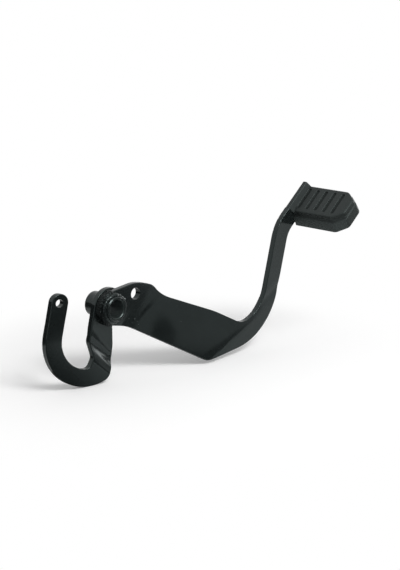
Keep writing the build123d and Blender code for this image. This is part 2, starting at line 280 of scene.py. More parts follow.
def shift(thing, test, move):
    """Move the vertices whose place passes a test."""
    choose(thing, "VERT", lambda vertex: test(vertex.co))
    bpy.ops.transform.translate(value=move)


def sink(distance):
    """Extrude what is selected downward."""
    bpy.ops.mesh.extrude_region_move(TRANSFORM_OT_translate={"value": (0.0, 0.0, -distance)})


def add_block(name, low, high):
    """A cuboid between two corners, open for editing."""
    deselect()
    low, high = Vector(low), Vector(high)
    bpy.ops.mesh.primitive_cube_add(size=1.0, location=(low + high) / 2)
    block = bpy.context.object
    block.name = name
    block.scale = high - low
    apply_place()
    open_mesh(block)
    return block


def add_tongue(name, low, high, level, corner, corner_round):
    """A flat outline with its two outer corners cut off and rounded, open for editing."""
    deselect()
    low, high = Vector(low), Vector(high)
    bpy.ops.mesh.primitive_plane_add(size=1.0, location=(*((low + high) / 2), level))
    outline = bpy.context.object
    outline.name = name
    outline.scale = (*(high - low), 1.0)
    apply_place()
    open_mesh(outline)
    for side, edge in ((-1.0, low.y + corner[1]), (1.0, high.y - corner[1])):
        bpy.ops.mesh.select_all(action="SELECT")
        facing = Vector((corner[1], side * corner[0], 0.0)).normalized()
        bpy.ops.mesh.bisect(plane_co=(high.x, edge, level), plane_no=facing, clear_outer=True)
    choose(outline, "VERT", lambda vertex: vertex.co.x > high.x - 1.01 * corner[0])
    bpy.ops.mesh.bevel(offset=corner_round, segments=5, affect="VERTICES")
    return outline


def close_mesh(thing):
    """Merge doubles, turn the faces outward and leave edit mode."""
    bpy.ops.mesh.select_all(action="SELECT")
    bpy.ops.mesh.remove_doubles(threshold=MERGE)
    bpy.ops.mesh.normals_make_consistent(inside=False)
    bpy.ops.object.mode_set(mode="OBJECT")
    return thing


def combine(body, tool, operation):
    """Add a tool to a body or cut it out, and delete the tool."""
    apply_modifier(body, "BOOLEAN", operation=operation, solver="EXACT", object=tool)
    bpy.data.objects.remove(tool)


def pad_body(pad):
    """Tread, hollow flanks and stepped skirt of the pad, in the tread's own frame."""
    tread = Vector(pad.tread)
    near, end, far = pad.flank
    outer = tread.x - 1.6 * pad.corner[0]
    body = add_tongue("rubber_pad", (PAD_FIT, 0.0), tread, 0.0, pad.corner, pad.corner_round)
    level, shares = 0.0, (0.0, 0.0)
    for depth, *wanted in PAD_PROFILE:
        choose(body, "FACE", lambda face: abs(face.calc_center_median().z - level) < TINY)
        sink(depth * MM + level)
        level = -depth * MM
        flank, skirt = (new - old for new, old in zip(wanted, shares))
        shares = wanted
        for test, move in (
                (lambda co: co.y < tread.y / 2, (0.0, -near * flank - pad.step * skirt, 0.0)),
                (lambda co: co.y > tread.y / 2, (0.0, far * flank, 0.0)),
                (lambda co: co.x > outer, (end * flank + pad.step * skirt, 0.0, 0.0))):
            shift(body, lambda co: abs(co.z - level) < TINY and test(co), move)
    choose(body, "EDGE", lambda edge: all(abs(v.co.z) < TINY for v in edge.verts)
           and any(v.co.x > 2 * PAD_FIT for v in edge.verts))
    bpy.ops.mesh.bevel(offset=pad.rim, segments=5, affect="EDGES")
    return close_mesh(body)


def pad_lip(pad):
    """Lip that lies over the arm's tang: a bar with a sloped front and rounded edges."""
    back, crest, foot = -6.0 * MM, -1.5 * MM, 0.85 * MM
    near, far = -1.5 * MM, pad.tread[1] - 0.05 * MM
    under, top, edge_round = 1.1 * MM, 5.8 * MM, 0.9 * MM
    lip = add_block("pad_lip", (back, near, under), (foot, far, top))
    shift(lip, lambda co: co.x > 0.0 and co.z > (under + top) / 2, (crest - foot, 0.0, 0.0))
    choose(lip, "EDGE", lambda edge: any(v.co.x < 0.0 for v in edge.verts))
    bpy.ops.mesh.bevel(offset=edge_round, segments=4, affect="EDGES")
    return close_mesh(lip)


def lip_tooth(pad):
    """Tooth that carries the lip's slope down into the tread."""
    root, foot, slant = 0.3 * MM, 0.62 * MM, 1.25 * MM
    near, far = -1.2 * MM, pad.tread[1] - 0.6 * MM
    under, top = -1.0 * MM, 1.5 * MM
    tooth = add_block("lip_tooth", (root, near, under), (foot, far, top))
    shift(tooth, lambda co: co.z < 0.0 and co.x > (root + foot) / 2, (slant, 0.0, 0.0))
    return close_mesh(tooth)


def groove_cutter(pad):
    """Cutter for one groove: a stadium with a rounded floor and a rim that opens outward."""
    width, length, depth = pad.groove
    run = length - width
    straight = 0.5 * MM  # depth at which the rim starts, and rounding of the floor
    deselect()
    bpy.ops.mesh.primitive_cylinder_add(vertices=32, radius=width / 2, depth=depth - straight)
    cutter = bpy.context.object
    open_mesh(cutter)
    shift(cutter, lambda co: True, (0.0, -run / 2, -(depth + straight) / 2))
    shift(cutter, lambda co: co.y > TINY - run / 2, (0.0, run, 0.0))
    choose(cutter, "EDGE", lambda edge: all(v.co.z < 10 * TINY - depth for v in edge.verts))
    bpy.ops.mesh.bevel(offset=straight, segments=3, affect="EDGES")
    choose(cutter, "FACE", lambda face: face.normal.z > 0.9)
    for rise, spread in GROOVE_RIM:
        sink(-rise * MM)
        wider = 2 * spread * MM
        bpy.ops.transform.resize(value=(1 + wider / width, 1 + wider / length, 1.0),
                                 center_override=(0.0, 0.0, 0.0))
    return close_mesh(cutter)


def cut_pad(pad, body):
    """Cut the grooves, the foot plate's pocket and the room for its bead out of the pad."""
    cutter = groove_cutter(pad)
    for index in range(pad.grooves):
        pick(cutter)
        bpy.ops.object.duplicate()
        copy = bpy.context.object
        copy.location = (pad.groove_start + index * pad.groove_pitch, pad.tread[1] / 2 + 0.5 * MM, 0.0)
        apply_place()
        combine(body, copy, "DIFFERENCE")
    bpy.data.objects.remove(cutter)
    top, bottom, mouth = -4.8 * MM, -9.2 * MM, -1.0 * MM
    corner, corner_round = (9.0 * MM, 7.0 * MM), 1.0 * MM
    pocket = add_tongue("pocket", (mouth, 3.4 * MM), (55.2 * MM, 31.8 * MM), top, corner, corner_round)
    bpy.ops.mesh.select_all(action="SELECT")
    sink(top - bottom)
    combine(body, close_mesh(pocket), "DIFFERENCE")
    room_low, room_high = (mouth, 6.4 * MM, -12.6 * MM), (3.6 * MM, 28.8 * MM, bottom + 0.1 * MM)
    combine(body, close_mesh(add_block("bead_room", room_low, room_high)), "DIFFERENCE")


def fold_across(start, end):
    """Side-view direction that leaves a fold line to its right."""
    along = (end - start).normalized()
    return Vector((along.y, -along.x))


def line_side(point, start, end):
    """Signed distance of a side-view point to the right of a fold line."""
    return (point - start).dot(fold_across(start, end))


def soft_corner(share, ease):
    """Rise that starts at nought, rounded over this much on both sides."""
    if abs(share) < ease:
        return (share + ease) ** 2 / (4 * ease)
    return max(share, 0.0)


def joggle(share, ease):
    """Rise from 0 to 1 between two folds, each rounded over its own ease."""
    return soft_corner(share, ease[0]) - soft_corner(share - 1.0, ease[1])


def press_plate(node_name, name, folds, crease, ease, step, cuts):
    """Copy of a folded plate whose two folds are drawn out into soft bends."""
    pick(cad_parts[node_name])
    bpy.ops.object.duplicate()
    plate = bpy.context.object
    plate.data = plate.data.copy()
    plate.name = plate.data.name = name
    open_mesh(plate)
    bpy.ops.mesh.select_all(action="SELECT")
    bpy.ops.mesh.remove_doubles(threshold=MERGE)
    bpy.ops.mesh.customdata_custom_splitnormals_clear()
    upper, lower = ([Vector(point) * MM for point in fold] for fold in folds)
    gap = line_side((lower[0] + lower[1]) / 2, *upper)
    for fold, reach in zip((upper, lower), ease):
        across = fold_across(*fold)
        for index in range(cuts + 1):
            place = fold[0] + across * reach * gap * (2 * index / cuts - 1)
            bpy.ops.mesh.select_all(action="SELECT")
            bpy.ops.mesh.bisect(plane_co=(place.x, 0.0, place.y), plane_no=(across.x, 0.0, across.y))
    bpy.ops.object.mode_set(mode="OBJECT")
    for vertex in plate.data.vertices:
        point = Vector((vertex.co.x, vertex.co.z))
        below, above = line_side(point, *upper), -line_side(point, *lower)
        share = below / (below + above)
        vertex.co.y -= (joggle(share, ease) - joggle(share, crease)) * step(point.x)
    pick(plate)
    bpy.ops.object.shade_smooth_by_angle(angle=math.radians(40))
    apply_modifier(plate, "WEIGHTED_NORMAL", keep_sharp=True)
    return plate


def coat(piece, material):
    """Give a piece or a CAD node this one material."""
    piece.data.materials.clear()
    piece.data.materials.append(material)


def finish(piece, material, node_name=None):
    """Coat a piece, fix it to the pedal and put it in the place of its CAD node, if it has one."""
    coat(piece, material)
    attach(piece, "root")
    if node_name:
        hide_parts(node_name)


def melt_drop(name):
    """One drop of weld metal: a sphere drawn out and down at its tail."""
    deselect()
    bpy.ops.mesh.primitive_uv_sphere_add(segments=20, ring_count=12, radius=1.0)
    drop = bpy.context.object
    drop.name = name
    open_mesh(drop)
    choose(drop, "VERT", lambda vertex: vertex.co.x > 0.55)
    bpy.ops.transform.translate(value=(0.25, 0.0, -0.1), use_proportional_edit=True, proportional_size=0.9)
    bpy.ops.object.mode_set(mode="OBJECT")
    return drop


def place_drop(drop, place, along, up, size):
    """Copy the drop to a place, its length along the bead and its height along up."""
    pick(drop)
    bpy.ops.object.duplicate()
    copy = bpy.context.object
    along = along.normalized()
    side = up.cross(along).normalized()
    turn = Matrix((along, side, along.cross(side))).transposed()
    copy.matrix_world = Matrix.Translation(place) @ turn.to_4x4() @ Matrix.Diagonal((*size, 1.0))
    apply_place()
    return copy


def join_drops(name, drops):
    """Join the drops into one object."""
    pick(*drops)
    bpy.ops.object.join()
    joined = bpy.context.object
    joined.name = joined.data.name = name
    return joined


def fuse(name, drops, voxel, lump, lump_size):
    """Fuse the drops into one closed bead with a softly uneven skin."""
    bead = join_drops(name, drops)
    apply_modifier(bead, "REMESH", mode="VOXEL", voxel_size=voxel)
    apply_modifier(bead, "SMOOTH", factor=0.5, iterations=2)
    texture = bpy.data.textures.new(name + "_lumps", "CLOUDS")
    texture.noise_scale = lump_size
    apply_modifier(bead, "DISPLACE", texture=texture, texture_coords="LOCAL", strength=lump, mid_level=0.5)
    pick(bead)
    bpy.ops.object.shade_smooth()
    return bead


def round_pivot(angle, radius, level):
    """Point round the pivot axis: angle from +X towards +Z, radius and place along Y."""
    return Vector((radius * math.cos(angle), level, radius * math.sin(angle)))


def ring_bead(name, face, outward, seed, weld):
    """Bead of overlapping drops round the tube, on a plate's face."""
    draw = random.Random(seed)
    drop = melt_drop(name + "_drop")
    count = round(2 * math.pi * (weld.tube_radius + weld.leg / 3) / weld.pitch)
    drops = []
    for index in range(count):
        angle = 2 * math.pi * (index + draw.uniform(-0.3, 0.3)) / count
        swell = draw.uniform(0.82, 1.12)
        radius = weld.tube_radius + weld.leg * draw.uniform(0.26, 0.36)
        place = round_pivot(angle, radius, face + outward * weld.leg * 0.3)
        along = Vector((-math.sin(angle), 0.0, math.cos(angle)))
        lean = Vector((math.cos(angle), outward, math.sin(angle)))
        size = (weld.pitch * 1.9, weld.leg * 0.62 * swell, weld.leg * 0.46 * swell)
        drops.append(place_drop(drop, place, along, lean, size))
    bpy.data.objects.remove(drop)
    return fuse(name, drops, weld.voxel, 0.5 * MM, 2.2 * MM)


def rough_bead(name, seed, weld):
    """Rough bead heaped against the rear edge of the arm's eye, on the lever's face."""
    draw = random.Random(seed)
    drop = melt_drop(name + "_drop")
    start, end = math.radians(98), math.radians(256)
    drops = []
    for out, rise, fat in ROUGH_ROWS:
        radius = weld.eye_radius + out * MM
        count = round(radius * (end - start) / (1.3 * weld.pitch))
        for index in range(count + 1):
            angle = start + (end - start) * (index + draw.uniform(-0.3, 0.3)) / count
            angle = min(max(angle, start), end)
            swell = draw.uniform(0.85, 1.1)
            place = round_pivot(angle, radius + draw.uniform(-0.3, 0.2) * MM,
                                LEVER_FACE - (rise + draw.uniform(-0.3, 0.3)) * MM)
            along = Vector((-math.sin(angle), draw.uniform(-0.3, 0.3), math.cos(angle)))
            lean = Vector((math.cos(angle), -1.0, math.sin(angle)))
            size = (weld.pitch * 1.7 * swell, fat * MM * swell, 0.85 * fat * MM * swell)
            drops.append(place_drop(drop, place, along, lean, size))
    for _ in range(ROUGH_CRUMBS):
        angle = draw.uniform(start, end)
        rise = draw.uniform(0.2, 6.9)
        out = 0.8 - 0.3 * max(rise - 3.0, 0.0) - 1.1 * max(rise - 5.4, 0.0)
        radius = weld.eye_radius + (out + draw.uniform(-0.4, 0.1)) * MM
        place = round_pivot(angle, radius, LEVER_FACE - rise * MM)
        along = Vector((draw.uniform(-1, 1), draw.uniform(-1, 1), draw.uniform(-1, 1)))
        lean = Vector((math.cos(angle), -0.6, math.sin(angle)))
        fat = draw.uniform(0.4, 0.9) * MM
        drops.append(place_drop(drop, place, along, lean, (1.2 * fat, 0.9 * fat, 0.75 * fat)))
    bpy.data.objects.remove(drop)
    return fuse(name, drops, 0.8 * weld.voxel, 0.45 * MM, 1.0 * MM)


def spatter_drops(name, seed, arm):
    """Small beads of weld metal that landed on the arm's outer side, each seated on the plate."""
    draw = random.Random(seed)
    drop = melt_drop(name + "_drop")
    drops = []
    for forward, up, size in SPATTER:
        outside = Vector((forward * MM, -1.0, up * MM))
        found, place, facing, _ = arm.ray_cast(outside, Vector((0.0, 1.0, 0.0)))
        if not found:
            raise RuntimeError("a drop of spatter misses the arm")
        along = facing.orthogonal().normalized()
        along.rotate(Quaternion(facing, draw.uniform(0.0, 2 * math.pi)))
        wide = size * MM
        drops.append(place_drop(drop, place, along, facing, (wide, 0.85 * wide, 0.7 * wide)))
    bpy.data.objects.remove(drop)
    spatter = join_drops(name, drops)
    apply_modifier(spatter, "SUBSURF", levels=1, render_levels=1)
    pick(spatter)
    bpy.ops.object.shade_smooth()
    return spatter


def node(tree, kind, **values):
    """Add a shader node; values are its settings, or its inputs by name with spaces as underscores."""
    made = tree.nodes.new(kind)
    for key, value in values.items():
        if hasattr(made, key):
            setattr(made, key, value)
        else:
            made.inputs[key.replace("_", " ")].default_value = value
    return made


def new_group(name, inputs, outputs):
    """Start a shader group with named float inputs and outputs."""
    tree = bpy.data.node_groups.new(name, "ShaderNodeTree")
    for socket, default in inputs:
        made = tree.interface.new_socket(name=socket, in_out="INPUT", socket_type="NodeSocketFloat")
        made.default_value = default
    for socket in outputs:
        tree.interface.new_socket(name=socket, in_out="OUTPUT", socket_type="NodeSocketFloat")
    return tree, tree.nodes.new("NodeGroupInput"), tree.nodes.new("NodeGroupOutput")


def feed(tree, socket, value):
    """Set a socket to a number or a tuple, or link another socket to it."""
    if isinstance(value, (int, float, tuple)):
        socket.default_value = value
    else:
        tree.links.new(value, socket)


def math_node(tree, operation, first, second):
    """Add a Math node; each side is a socket or a number."""
    made = node(tree, "ShaderNodeMath", operation=operation)
    feed(tree, made.inputs[0], first)
    feed(tree, made.inputs[1], second)
    return made.outputs[0]


def times(tree, first, second):
    """Product of two sockets or numbers."""
    return math_node(tree, "MULTIPLY", first, second)


def vector_reading(tree, operation, first, second):
    """Number that a Vector Math node gives for two vectors, each a socket or a tuple."""
    made = node(tree, "ShaderNodeVectorMath", operation=operation)
    feed(tree, made.inputs[0], first)
    feed(tree, made.inputs[1], second)
    return made.outputs["Value"]


def object_place(tree):
    """Place on the object, as a socket."""
    return node(tree, "ShaderNodeTexCoord").outputs["Object"]


def surface_normal(tree):
    """Normal of the surface, as a socket."""
    return node(tree, "ShaderNodeNewGeometry").outputs["Normal"]


def noise(tree, place, scale, detail, roughness=0.5):
    """Add a noise texture on object coordinates; scale is a socket or a number."""
    made = node(tree, "ShaderNodeTexNoise", Detail=detail, Roughness=roughness)
    tree.links.new(place, made.inputs["Vector"])
    feed(tree, made.inputs["Scale"], scale)
    return made.outputs["Fac"]


def ramp(tree, value, low, high):
    """Smooth step of a value from low to high."""
    made = node(tree, "ShaderNodeMapRange", interpolation_type="SMOOTHSTEP", From_Min=low, From_Max=high)
    tree.links.new(value, made.inputs["Value"])
    return made.outputs["Result"]


def sprayed_skin():
    """Group: orange peel of sprayed paint, with slow waves below it and small nibs of dust."""
    tree, inner, outer = new_group(
        "sprayed_skin", [("Peel Scale", 450.0), ("Wave", 0.5)], ["Height", "Cloud"])
    place = object_place(tree)
    peel = noise(tree, place, inner.outputs["Peel Scale"], 2.0)
    wave = noise(tree, place, 60.0, 1.0)
    waved = times(tree, wave, inner.outputs["Wave"])
    cells = node(tree, "ShaderNodeTexVoronoi", Scale=130.0)
    tree.links.new(place, cells.inputs["Vector"])
    tip = ramp(tree, cells.outputs["Distance"], 0.11, 0.03)
    chance = node(tree, "ShaderNodeSeparateColor")
    tree.links.new(cells.outputs["Color"], chance.inputs["Color"])
    rare = ramp(tree, chance.outputs["Red"], 0.93, 0.95)
    nib = times(tree, tip, rare)
    height = math_node(tree, "ADD", times(tree, peel, 0.35), waved)
    height = math_node(tree, "ADD", height, times(tree, nib, 0.8))
    cloud = ramp(tree, noise(tree, place, 22.0, 4.0, 0.6), 0.35, 0.7)
    tree.links.new(height, outer.inputs["Height"])
    tree.links.new(cloud, outer.inputs["Cloud"])
    return tree


def settled_dust():
    """Group: thin film of dust on faces that look up, broken into patches."""
    tree, inner, outer = new_group("settled_dust", [("Amount", 0.5), ("Patch Scale", 120.0)], ["Film"])
    place = object_place(tree)
    facing = vector_reading(tree, "DOT_PRODUCT", surface_normal(tree), (0.0, 0.0, 1.0))
    upward = ramp(tree, facing, 0.15, 0.95)
    patches = ramp(tree, noise(tree, place, inner.outputs["Patch Scale"], 5.0, 0.65), 0.3, 0.75)
    film = times(tree, upward, patches)
    film = times(tree, film, inner.outputs["Amount"])
    tree.links.new(film, outer.inputs["Film"])
    return tree


def rounded_edges():
    """Group: mask of the outer edges, where paint draws thin and rubber rubs pale."""
    tree, inner, outer = new_group("rounded_edges", [("Reach", 0.001), ("Breakup Scale", 300.0)], ["Edge"])
    place = object_place(tree)
    bevel = node(tree, "ShaderNodeBevel", samples=4)
    tree.links.new(inner.outputs["Reach"], bevel.inputs["Radius"])
    likeness = vector_reading(tree, "DOT_PRODUCT", bevel.outputs["Normal"], surface_normal(tree))
    bent = ramp(tree, likeness, 0.995, 0.9)
    broken = ramp(tree, noise(tree, place, inner.outputs["Breakup Scale"], 3.0), 0.3, 0.7)
    tree.links.new(times(tree, bent, broken), outer.inputs["Edge"])
    return tree


def mould_grain():
    """Group: fine grain that a spark-eroded mould leaves on rubber, with slow blooms."""
    tree, inner, outer = new_group("mould_grain", [("Grain Scale", 1400.0)], ["Height", "Bloom"])
    place = object_place(tree)
    fine = noise(tree, place, inner.outputs["Grain Scale"], 3.0, 0.6)
    pores = node(tree, "ShaderNodeTexVoronoi")
    tree.links.new(place, pores.inputs["Vector"])
    tree.links.new(inner.outputs["Grain Scale"], pores.inputs["Scale"])
    pitted = ramp(tree, pores.outputs["Distance"], 0.05, 0.5)
    height = math_node(tree, "ADD", times(tree, fine, 0.7), times(tree, pitted, 0.3))
    bloom = ramp(tree, noise(tree, place, 45.0, 5.0, 0.65), 0.35, 0.75)
    tree.links.new(height, outer.inputs["Height"])
    tree.links.new(bloom, outer.inputs["Bloom"])
    return tree


def use_group(tree, make, **values):
    """Place a shared group, built on first use, in a material."""
    group = bpy.data.node_groups.get(make.__name__) or make()
    return node(tree, "ShaderNodeGroup", node_tree=group, **values)


def tint(tree, factor, first, second):
    """Mix two colours, each a colour or a socket, by a factor."""
    made = node(tree, "ShaderNodeMix", data_type="RGBA")
    tree.links.new(factor, made.inputs["Factor"])
    for name, side in (("A", first), ("B", second)):
        feed(tree, next(s for s in made.inputs if s.name == name and s.type == "RGBA"), side)
    return next(s for s in made.outputs if s.type == "RGBA")


def blend_value(tree, factor, low, high):
    """Number that goes from low to high with a mask."""
    made = node(tree, "ShaderNodeMapRange", To_Min=low, To_Max=high)
    tree.links.new(factor, made.inputs["Value"])
    return made.outputs["Result"]


def bump(tree, shader, height, strength, distance):
    """Feed a height to the shader's normal."""
    made = node(tree, "ShaderNodeBump", Strength=strength, Distance=distance)
    tree.links.new(height, made.inputs["Height"])
    tree.links.new(made.outputs["Normal"], shader.inputs["Normal"])


def fresh_material(name):
    """New material with only a shader and its output."""
    material = bpy.data.materials.new(name)
    material.use_nodes = True
    return material, material.node_tree, material.node_tree.nodes["Principled BSDF"]


def bore_mask(tree, radius):
    """Mask of what lies nearer to the pivot axis than a radius."""
    flat = node(tree, "ShaderNodeVectorMath", operation="MULTIPLY")
    feed(tree, flat.inputs[0], object_place(tree))
    feed(tree, flat.inputs[1], (1.0, 0.0, 1.0))
    reach = vector_reading(tree, "LENGTH", flat.outputs["Vector"], (0.0, 0.0, 0.0))
    return ramp(tree, reach, radius, 0.95 * radius)


def shade(colour, factor=1.0):
    """A colour made darker or paler, with its alpha."""
    return (*(factor * part for part in colour), 1.0)


def grey(level):
    """A neutral colour, with its alpha."""
    return (level, level, level, 1.0)


def black_paint(name, settings, wave, peel_depth, dust, bore=0.0, dull=0.0, weld_shade=0.0):
    """Gloss black paint with peel, waves, pale edges and a trace of dust; a bore is dull and paler, with
    painted light, and a shade share paints shade in by darkening the colour and weakening the gloss.
    """
    material, tree, shader = fresh_material(name)
    # Painted shade: the shade share darkens the paint and weakens its gloss, for the rough weld heaped in
    # the corner behind the arm's eye.
    shader.inputs["IOR"].default_value = settings.index - 0.15 * weld_shade
    shader.inputs["Specular Tint"].default_value = shade(settings.sheen)
    unshaded = 1.0 - 0.8 * weld_shade
    clear, clouded, thin = (shade(settings.colour, factor * unshaded) for factor in (1.0, 1.25, 2.2))
    dust_grey, lit_bore_grey = (0.11, 0.115, 0.115, 1.0), (0.025, 0.032, 0.031, 1.0)
    glossy, hazy = settings.roughness + dull, settings.roughness * 1.35 + dull
    skin = use_group(tree, sprayed_skin, Peel_Scale=1.0 / settings.peel, Wave=wave)
    film = use_group(tree, settled_dust, Amount=dust)
    edge = use_group(tree, rounded_edges, Reach=0.9 * MM)
    base = tint(tree, skin.outputs["Cloud"], clear, clouded)
    base = tint(tree, edge.outputs["Edge"], base, thin)
    base = tint(tree, film.outputs["Film"], base, dust_grey)
    rough = blend_value(tree, skin.outputs["Cloud"], glossy, hazy)
    rough = math_node(tree, "ADD", rough, times(tree, film.outputs["Film"], 0.3))
    # Painted light: inside the bore the paint turns a paler grey, standing in for light that reaches into
    # the tube, and rougher.
    if bore:
        inside = bore_mask(tree, bore)
        base = tint(tree, inside, base, lit_bore_grey)
        rough = math_node(tree, "ADD", rough, times(tree, inside, 0.2))
    tree.links.new(base, shader.inputs["Base Color"])
    tree.links.new(rough, shader.inputs["Roughness"])
    bump(tree, shader, skin.outputs["Height"], 0.35, peel_depth)
    return material


def pad_zones(tree, pad):
    """Masks of the grooves' floors, which look up from below the tread and get painted shade, and of the
    near side's skirt, which gets painted bounce light.
    """
    up = (-math.sin(pad.slope), 0.0, math.cos(pad.slope))
    near = (-math.cos(pad.slope), 0.0, -math.sin(pad.slope))
    height = vector_reading(tree, "DOT_PRODUCT", object_place(tree), up)
    tread = Vector(pad.root).dot(Vector(up))
    below = ramp(tree, height, tread - 0.25 * MM, tread - 0.9 * MM)
    skirt = ramp(tree, height, tread - 4.6 * MM, tread - 7.0 * MM)
    normal = surface_normal(tree)
    upward = ramp(tree, vector_reading(tree, "DOT_PRODUCT", normal, up), 0.6, 0.85)
    nearward = ramp(tree, vector_reading(tree, "DOT_PRODUCT", normal, near), 0.3, 0.85)
    floors = times(tree, below, math_node(tree, "SUBTRACT", upward, skirt))
    return math_node(tree, "MAXIMUM", floors, 0.0), times(tree, skirt, nearward)


def black_rubber(name, settings, pad):
    """Satin moulded rubber: grain, slow blooms, pale rubbed edges and a dusty tread, with painted shade in
    the grooves and painted bounce light on the near side's skirt.
    """
    material, tree, shader = fresh_material(name)
    shader.inputs["IOR"].default_value = settings.index
    shader.inputs["Specular Tint"].default_value = shade(settings.sheen)
    plain, bloomed, rubbed, dark, pale = (
        shade(settings.colour, factor) for factor in (1.0, 1.5, 2.6, 0.4, 3.2))
    dusty = (0.08, 0.09, 0.088, 1.0)
    grain = use_group(tree, mould_grain, Grain_Scale=1.0 / settings.grain)
    film = use_group(tree, settled_dust, Amount=0.06, Patch_Scale=160.0)
    edge = use_group(tree, rounded_edges, Reach=0.8 * MM, Breakup_Scale=500.0)
    grooves, skirt = pad_zones(tree, pad)
    base = tint(tree, grain.outputs["Bloom"], plain, bloomed)
    # Painted light: the near side's skirt is paled as if lit by light bounced up from the floor.
    base = tint(tree, skirt, base, pale)
    base = tint(tree, edge.outputs["Edge"], base, rubbed)
    base = tint(tree, film.outputs["Film"], base, dusty)
    # Painted shade: the grooves' floors below the tread are darkened and roughened where shadow falls in
    # them.
    base = tint(tree, grooves, base, dark)
    tree.links.new(base, shader.inputs["Base Color"])
    rough = blend_value(tree, grain.outputs["Bloom"], settings.roughness, settings.roughness + 0.14)
    rough = math_node(tree, "ADD", rough, times(tree, grooves, 0.3))
    tree.links.new(rough, shader.inputs["Roughness"])
    bump(tree, shader, grain.outputs["Height"], 0.4, 0.00012)
    return material


class PEDAL_OT_paint_steel(bpy.types.Operator):
    """Paint the pivot tube and the hidden plate with its bead gloss black"""

    bl_idname = "pedal.paint_steel"
    bl_label = "Paint Steel"

    def execute(self, context):
        paint = context.scene.pedal_paint
        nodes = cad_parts
        # The bore inside the tube gets painted light: a paler, rougher grey.
        tube = black_paint("tube_gloss_black", paint, 0.3, 0.1 * MM, 0.05, bore=9.3 * MM, dull=0.08)
        coat(nodes["pivot_tube"], tube)
        coat(nodes["foot_plate"], black_paint("plate_gloss_black", paint, 0.3, 0.1 * MM, 0.0))
        coat(nodes["plate_weld"], black_paint("plate_weld_black", paint, 1.0, 0.3 * MM, 0.0))
        return {"FINISHED"}


class PEDAL_OT_press_plates(bpy.types.Operator):
    """Press the folds of the arm and of the hooked lever into soft bends and paint both"""

    bl_idname = "pedal.press_plates"
    bl_label = "Press Plates"

    def execute(self, context):
        bend = context.scene.pedal_bend
        paint = context.scene.pedal_paint
        hook_start, hook_slant = LEVER_FOLDS[1][1][0] * MM, math.tan(bend.lever_turn)
        arm = press_plate("pedal_arm", "pressed_arm", ARM_FOLDS, ARM_CREASE, bend.arm_ease,
                          lambda forward: bend.arm_step, bend.cuts)
        lever = press_plate("hook_lever", "pressed_lever", LEVER_FOLDS, LEVER_CREASE, bend.lever_ease,
                            lambda forward: bend.lever_step + (forward - hook_start) * hook_slant, bend.cuts)
        for plate, node_name, part in ((arm, "pedal_arm", "arm"), (lever, "hook_lever", "lever")):
            material = black_paint(part + "_gloss_black", paint, 0.6, 0.12 * MM, 0.06)
            finish(plate, material, node_name)
        return {"FINISHED"}


class PEDAL_OT_mould_pad(bpy.types.Operator):
    """Mould the rubber foot pad with its lip, hollow flanks, skirt and grooves"""

    bl_idname = "pedal.mould_pad"
    bl_label = "Mould Pad"

    def execute(self, context):
        pad = context.scene.pedal_pad
        body = pad_body(pad)
        combine(body, lip_tooth(pad), "UNION")
        combine(body, pad_lip(pad), "UNION")
        cut_pad(pad, body)
        pick(body)
        rise = Vector((math.cos(pad.slope), 0.0, math.sin(pad.slope)))
        outward = Vector((0.0, -1.0, 0.0))
        turn = Matrix((outward, rise, outward.cross(rise))).transposed()
        body.matrix_world = Matrix.Translation(pad.root) @ turn.to_4x4()
        apply_place()
        bpy.ops.object.shade_smooth_by_angle(angle=math.radians(35))
        apply_modifier(body, "WEIGHTED_NORMAL", keep_sharp=True)
        rubber = black_rubber("pad_black_rubber", context.scene.pedal_rubber, pad)
        finish(body, rubber, "foot_pad")
        return {"FINISHED"}


class PEDAL_OT_lay_welds(bpy.types.Operator):
    """Lay the uneven weld beads round the tube and behind the arm's eye"""

    bl_idname = "pedal.lay_welds"
    bl_label = "Lay Welds"

    def execute(self, context):
        weld = context.scene.pedal_weld
        paint = context.scene.pedal_paint
        gloss = black_paint("weld_gloss_black", paint, 1.4, 0.25 * MM, 0.0)
        # Painted shade: the rough bead in the corner behind the arm's eye gets darker paint with weaker
        # gloss.
        shaded_weld_black = black_paint("shaded_rough_weld_black", paint, 1.4, 0.25 * MM, 0.0, weld_shade=0.85)
        outer = ring_bead("outer_weld_bead", ARM_FACE, -1.0, weld.seed, weld)
        finish(outer, gloss, "tube_weld")
        inner = ring_bead("inner_weld_bead", 0.0, 1.0, weld.seed + 1, weld)
        finish(inner, gloss, "inner_weld")
        rough = rough_bead("rough_weld_bead", weld.seed + 2, weld)
        finish(rough, shaded_weld_black, "lever_weld")
        spatter = spatter_drops("weld_spatter", weld.seed + 3, bpy.data.objects["pressed_arm"])
        finish(spatter, gloss)
        return {"FINISHED"}


def hang(name, data, place, direction):
    """Put a lamp or camera into the scene, looking in a direction."""
    thing = bpy.data.objects.new(name, data)
    bpy.context.scene.collection.objects.link(thing)
    thing.location = place
    thing.rotation_mode = "QUATERNION"
    thing.rotation_quaternion = direction.to_track_quat("-Z", "Y")
    return thing


def area_lamp(name, place, aim, size, power):
    """Soft rectangular lamp that looks at a point and that the camera doesn't see."""
    data = bpy.data.lights.new(name, "AREA")
    data.shape = "RECTANGLE"
    data.size, data.size_y = size
    data.energy = power
    hang(name, data, place, Vector(aim) - Vector(place)).visible_camera = False


def seen_rays(tree):
    """Mask of the rays that see the background: the camera's, and those of reflections and glass."""
    path = node(tree, "ShaderNodeLightPath")
    seen = math_node(tree, "MAXIMUM", path.outputs["Is Camera Ray"], path.outputs["Is Glossy Ray"])
    return math_node(tree, "MAXIMUM", seen, path.outputs["Is Transmission Ray"])


